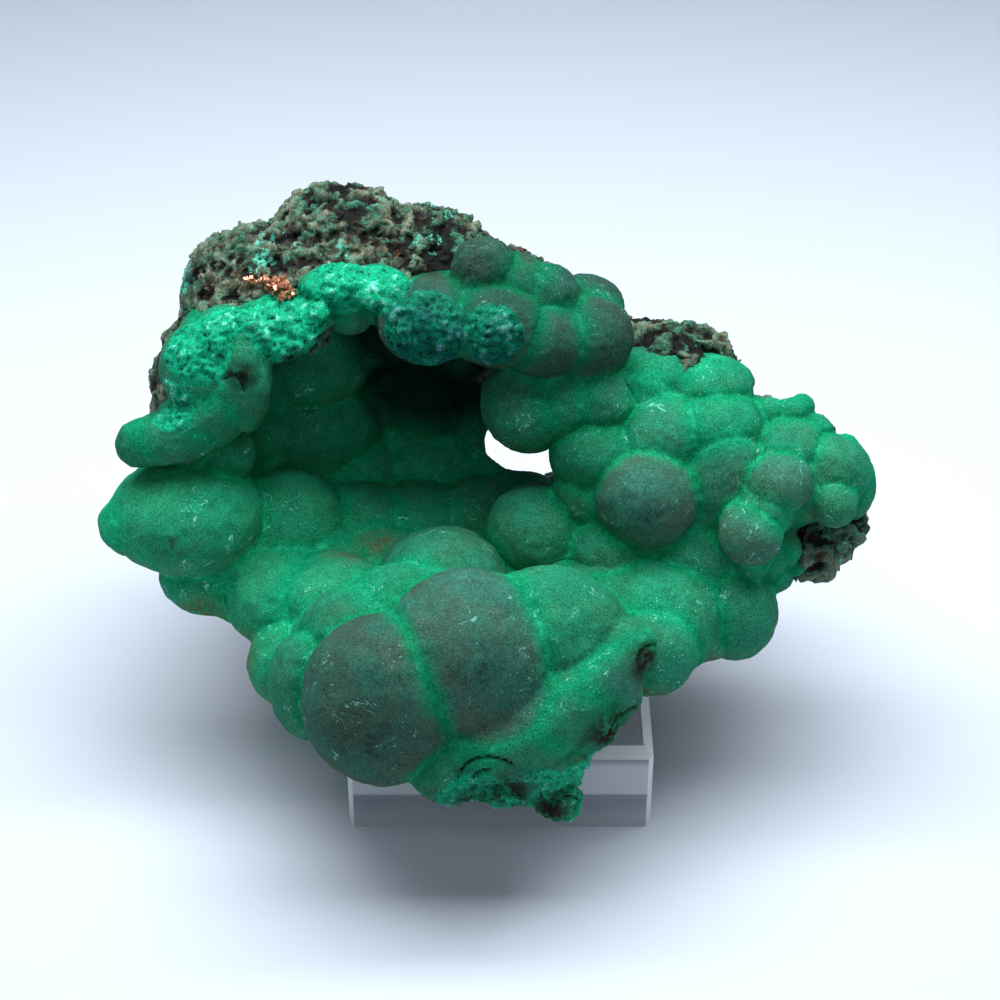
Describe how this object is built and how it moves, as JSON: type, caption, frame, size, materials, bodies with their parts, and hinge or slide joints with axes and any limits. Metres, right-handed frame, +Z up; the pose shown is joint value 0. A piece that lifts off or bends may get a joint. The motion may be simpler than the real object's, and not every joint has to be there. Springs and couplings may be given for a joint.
{
  "type": "malachite specimen",
  "caption": "Hollow botryoidal malachite specimen, round velvety lobes on rough rock with a see-through cave, resting on a clear bevelled display block.",
  "frame": {"origin": "centre of the display block's underside", "axes": "+Z up; +Y away from the specimen's open front, so the cave's mouth faces -Y; +X to the right as the mouth is faced, along the specimen's longest extent"},
  "size_m": [0.1947, 0.1449, 0.1341],
  "materials": {
    "malachite": "velvety matte botryoidal crust, saturated green in the creases and dull grey-green on the crowns, over dark brown pitted rock",
    "native_copper": "bright orange-pink metallic grains",
    "clear_acrylic": "polished and clear, with bevelled top edges"
  },
  "bodies": {
    "root": {"malachite_specimen": "malachite", "copper_crystals": "native_copper", "display_block": "clear_acrylic"}
  },
  "joints": []
}
